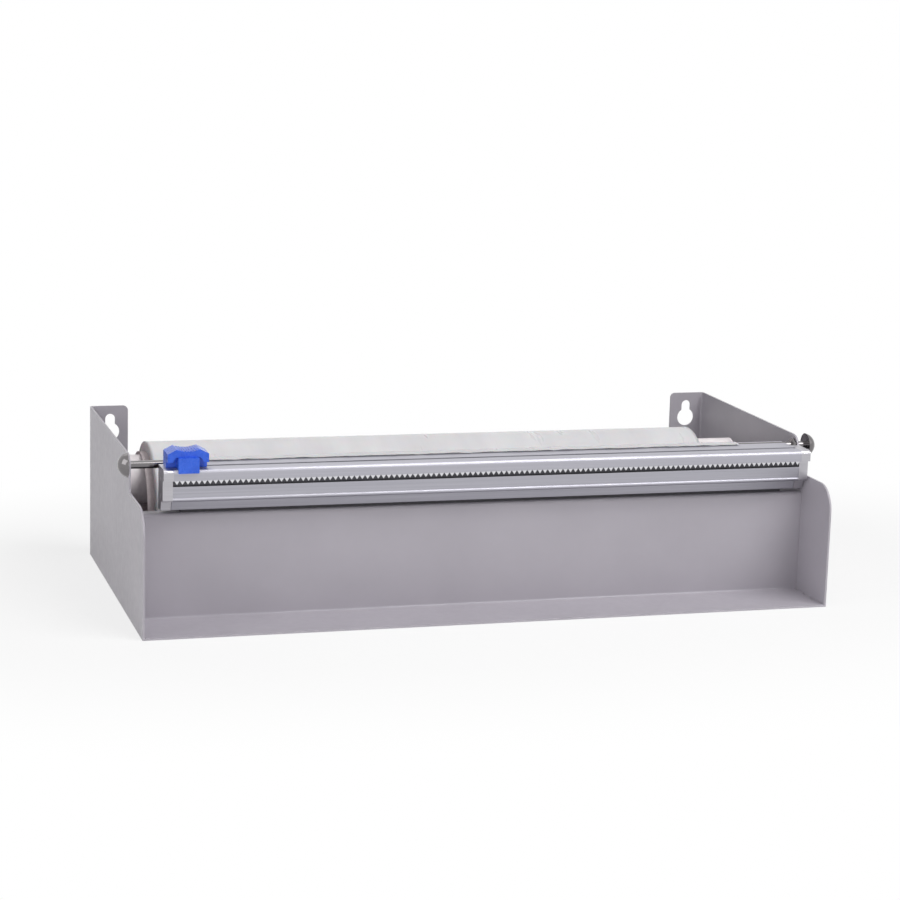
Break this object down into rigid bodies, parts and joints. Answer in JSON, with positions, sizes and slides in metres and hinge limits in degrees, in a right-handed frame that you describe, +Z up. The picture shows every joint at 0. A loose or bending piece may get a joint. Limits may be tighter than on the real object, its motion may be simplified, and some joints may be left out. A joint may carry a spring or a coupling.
{
  "type": "film roll cutter",
  "caption": "Counter-top dispenser and cutter for a roll of food film: open steel tray with side plates, a hinged cutter bar on a rod, a sliding cutting knob and a roll on a tube.",
  "frame": {"origin": "middle of the base on the standing surface, halfway between the side plates and halfway between their back and front edges", "axes": "+X along the roll to the right seen from the front, -Y towards the front where the film is cut, +Z up"},
  "size_m": [0.5588, 0.268, 0.132],
  "materials": {
    "grey_paint": "satin powder coat, light grey",
    "bright_steel": "polished steel",
    "blade_steel": "bright steel strip",
    "screw_steel": "zinc plated",
    "rail_aluminium": "satin anodised extrusion",
    "cap_metal": "bright cast metal",
    "blue_plastic": "glossy moulded plastic",
    "white_plastic": "satin off-white plastic",
    "core_card": "dull grey-brown roll core",
    "film": "wound clear film, whitish and softly glossy",
    "black_rubber": "matt black strip"
  },
  "bodies": {
    "frame": {"left_side_plate": "grey_paint", "right_side_plate": "grey_paint", "front_tray": "grey_paint", "rear_floor_pan": "grey_paint", "pivot_rod": "bright_steel", "rod_cap_nuts": "bright_steel", "rod_lock_nut": "bright_steel", "left_roll_bracket": "grey_paint", "right_roll_bracket": "grey_paint", "rest_strip": "black_rubber", "film_leader": "film"},
    "cutter_bar": {"cutter_rail": "rail_aluminium", "lower_lip": "rail_aluminium", "serrated_blade": "blade_steel", "left_rail_cap": "cap_metal", "right_rail_cap": "cap_metal", "lip_screws": "screw_steel", "rail_cap_screws": "screw_steel"},
    "slider": {"slider_body": "blue_plastic", "slider_shoe": "blue_plastic", "slider_blades": "blade_steel", "slider_screw": "screw_steel"},
    "spindle": {"roll_tube": "white_plastic", "left_tube_plug": "white_plastic", "right_tube_plug": "white_plastic"},
    "roll": {"roll_core": "core_card", "film_roll": "film"}
  },
  "joints": [
    {"name": "bar_lift", "type": "hinge", "parent": "frame", "child": "cutter_bar", "pos_m": [0, -0.062, 0.1145], "axis": [-1, 0, 0], "range_deg": [0, 115], "deforming": ["film_leader"]},
    {"name": "slider_run", "type": "slide", "parent": "cutter_bar", "child": "slider", "axis": [1, 0, 0], "range_m": [0, 0.476]},
    {"name": "roll_spin", "type": "hinge", "parent": "frame", "child": "roll", "pos_m": [0, 0.039, 0.0633], "axis": [1, 0, 0], "continuous": true},
    {"name": "tube_spin", "type": "hinge", "parent": "frame", "child": "spindle", "pos_m": [0, 0.039, 0.082], "axis": [1, 0, 0], "continuous": true}
  ],
  "couplings": [
    {"joint": "tube_spin", "follows": "roll_spin", "ratio": 2}
  ]
}
